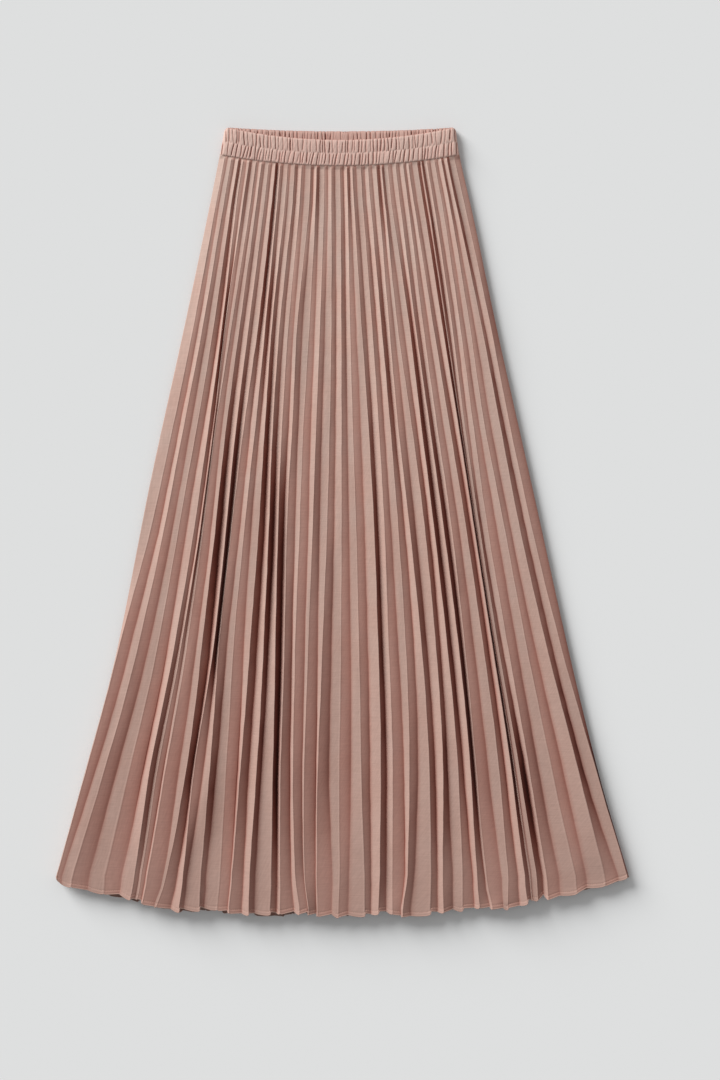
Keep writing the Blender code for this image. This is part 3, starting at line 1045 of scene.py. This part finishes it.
def stitch_tree(material):
    """Geometry Nodes: one short round stitch at each pitch along the piece's edges."""
    tree = bpy.data.node_groups.new("Stitches along an edge", "GeometryNodeTree")
    face = tree.interface
    face.new_socket("Geometry", in_out="INPUT", socket_type="NodeSocketGeometry")
    for name in ("Pitch", "Stitch Length", "Thread Radius"):
        face.new_socket(name, in_out="INPUT", socket_type="NodeSocketFloat")
    face.new_socket("Geometry", in_out="OUTPUT", socket_type="NodeSocketGeometry")
    given = add(tree, "NodeGroupInput").outputs
    line = add(tree, "GeometryNodeMeshToCurve", None, {"Mesh": given["Geometry"]})
    places = add(
        tree,
        "GeometryNodeResampleCurve",
        {"mode": "LENGTH"},
        {"Curve": line.outputs["Curve"], "Length": given["Pitch"]},
    )
    along = add(tree, "GeometryNodeInputTangent")
    turn = add(
        tree,
        "FunctionNodeAlignRotationToVector",
        {"axis": "Z"},
        {"Vector": along.outputs["Tangent"]},
    )
    thread = add(
        tree,
        "GeometryNodeMeshCylinder",
        None,
        {
            "Vertices": STITCH_SIDES,
            "Radius": given["Thread Radius"],
            "Depth": given["Stitch Length"],
        },
    )
    sewn = add(
        tree,
        "GeometryNodeInstanceOnPoints",
        None,
        {
            "Points": places.outputs["Curve"],
            "Instance": thread.outputs["Mesh"],
            "Rotation": turn.outputs["Rotation"],
        },
    )
    real = add(tree, "GeometryNodeRealizeInstances", None, {"Geometry": sewn.outputs["Instances"]})
    dressed = {"Geometry": real.outputs["Geometry"], "Material": material}
    coloured = add(tree, "GeometryNodeSetMaterial", None, dressed)
    smooth = add(tree, "GeometryNodeSetShadeSmooth", None, {"Geometry": coloured.outputs["Geometry"]})
    add(tree, "NodeGroupOutput", None, {"Geometry": smooth.outputs["Geometry"]})
    return tree


def sew_line(name, path, pitch, length, radius, tree, material):
    """Stitches along a line of points, as one plain mesh."""
    guide = bpy.data.meshes.new(name + "_guide")
    edges = [(i, i + 1) for i in range(len(path) - 1)]
    guide.from_pydata([tuple(p) for p in path], edges, [])
    holder = bpy.data.objects.new(name + "_guide", guide)
    bpy.context.scene.collection.objects.link(holder)
    nodes = holder.modifiers.new("stitches", "NODES")
    nodes.node_group = tree
    sizes = {"Pitch": pitch, "Stitch Length": length, "Thread Radius": radius}
    for socket in tree.interface.items_tree:
        if socket.in_out == "INPUT" and socket.name in sizes:
            nodes[socket.identifier] = sizes[socket.name]
    graph = bpy.context.evaluated_depsgraph_get()
    mesh = bpy.data.meshes.new_from_object(holder.evaluated_get(graph), depsgraph=graph)
    mesh.name = name
    bpy.data.objects.remove(holder, do_unlink=True)
    return add_piece(mesh, material)


def hem_stitch_path(panel):
    """A line on the outside of the panel, along the top of its turned hem."""
    down = panel.long
    above = down[-1][None, :] - down
    row = np.abs(above - HEM_TURN).argmin(axis=0)
    return panel.points[row, np.arange(panel.points.shape[1])]


# ---------------------------------------------------------------- table, lights, camera

FLOOR_HALF = 4.0  # metres of table each way
KEY_ELEVATION = math.radians(24)
KEY_AZIMUTH = math.radians(135)  # from +X, so the light comes from the upper left
KEY_SPREAD = math.radians(36)  # how wide the light looks from the table
KEY_STRENGTH = 4.22
SKY_STRENGTH = 0.395
PHOTO_HEIGHT = 1.35  # metres of table that the photograph's height covers
CAMERA_HEIGHT = 3.2
CAMERA_X = 21.9 * MM
CAMERA_Y = -23.75 * MM
SENSOR = 36.0


def make_floor():
    half = FLOOR_HALF
    mesh = bpy.data.meshes.new("Table")
    corners = [(-half, -half, 0), (half, -half, 0), (half, half, 0), (-half, half, 0)]
    mesh.from_pydata(corners, [], [(0, 1, 2, 3)])
    floor = add_piece(mesh, painted_board("painted board", "E4E5E5"))


def make_lights():
    lamp = bpy.data.lights.new("Key", "SUN")
    lamp.angle = KEY_SPREAD
    lamp.energy = KEY_STRENGTH
    key = bpy.data.objects.new("Key", lamp)
    flat = math.cos(KEY_ELEVATION)
    key.location = (
        flat * math.cos(KEY_AZIMUTH),
        flat * math.sin(KEY_AZIMUTH),
        math.sin(KEY_ELEVATION),
    )
    key.rotation_euler = (-key.location).to_track_quat("-Z", "Y").to_euler()
    bpy.context.scene.collection.objects.link(key)
    world = bpy.data.worlds.new("Studio")
    world.use_nodes = True
    sky = world.node_tree.nodes["Background"]
    sky.inputs["Color"].default_value = (1.0, 1.0, 1.0, 1.0)
    sky.inputs["Strength"].default_value = SKY_STRENGTH
    bpy.context.scene.world = world


def make_camera():
    lens = bpy.data.cameras.new("Camera")
    lens.sensor_width = SENSOR
    lens.lens = SENSOR * CAMERA_HEIGHT / PHOTO_HEIGHT
    camera = bpy.data.objects.new("Camera", lens)
    camera.location = (CAMERA_X, CAMERA_Y, CAMERA_HEIGHT)
    bpy.context.scene.collection.objects.link(camera)
    bpy.context.scene.camera = camera
    bpy.context.scene.view_settings.view_transform = "Standard"


# ---------------------------------------------------------------- the skirt

FRONT_SEED = 11
BACK_SEED = 37
BAND_FRONT_SEED = 51
BAND_BACK_SEED = 83
HEM_ARC_DOWN = 0.935  # where the cut's two arcs are measured
WAIST_ARC_DOWN = 0.043


def sector_cut():
    """A sunray panel's cut: the box it needs and its flat area, in metres."""
    hem_arc, waist_arc = (
        FULLNESS * float(x_at(1.0, down) - x_at(0.0, down))
        for down in (HEM_ARC_DOWN, WAIST_ARC_DOWN)
    )
    long = LENGTH - SEAM_AT_MIDDLE
    angle = (hem_arc - waist_arc) / long
    outer = hem_arc / angle
    width = 2 * outer * math.sin(angle / 2)
    height = outer - (outer - long) * math.cos(angle / 2)
    return (width, height), (hem_arc + waist_arc) / 2 * long


def main():
    make_camera()
    make_lights()
    make_floor()
    crepe = woven_crepe(
        "dusty rose polyester crepe",
        waist_hex="BFA599",
        hem_hex="C6A295",
        painted_shade_hex="A63B1C",
        warm_hex="C29B8D",
    )
    band_crepe = woven_crepe(
        "dusty rose crepe, ruched",
        waist_hex="CFB1A5",
        hem_hex="CFB1A5",
        painted_shade_hex="A0442E",
        warm_hex="CDA69B",
    )
    thread = polyester_thread("polyester sewing thread", "B48A7A", "C49C8C")

    front = make_panel(mirrored=False, seed=FRONT_SEED)
    back = make_panel(mirrored=True, seed=BACK_SEED)
    front_cloth = panel_piece("front_cloth", front, True, crepe)
    back_cloth = panel_piece("back_cloth", back, False, crepe)
    front_hem = hem_bead("front_hem_roll", front, crepe)
    back_hem = hem_bead("back_hem_roll", back, crepe)

    band_front = make_band(
        "band_front",
        (FRONT_TOP_AT_SIDE, FRONT_TOP_AT_MIDDLE),
        FRONT_LEANS,
        NO_LEANS,
        BAND_FRONT_SEED,
        False,
        band_crepe,
    )
    band_back = make_band(
        "band_back",
        (BACK_TOP_AT_SIDE, BACK_TOP_AT_MIDDLE),
        NO_LEANS,
        BACK_LEANS,
        BAND_BACK_SEED,
        True,
        band_crepe,
    )

    stitches = stitch_tree(thread)
    hem_stitches = sew_line(
        "front_hem_stitches",
        hem_stitch_path(front),
        STITCH_PITCH,
        STITCH_LENGTH,
        STITCH_RADIUS,
        stitches,
        thread,
    )

    for piece in (front_cloth, front_hem, hem_stitches, back_cloth, back_hem):
        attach(piece, "root")
    for piece in (band_front, band_back):
        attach(piece, "root")
    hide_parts("front_panel")
    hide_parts("back_panel")
    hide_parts("waistband_front")
    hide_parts("waistband_back")
    flat, area = sector_cut()


main()
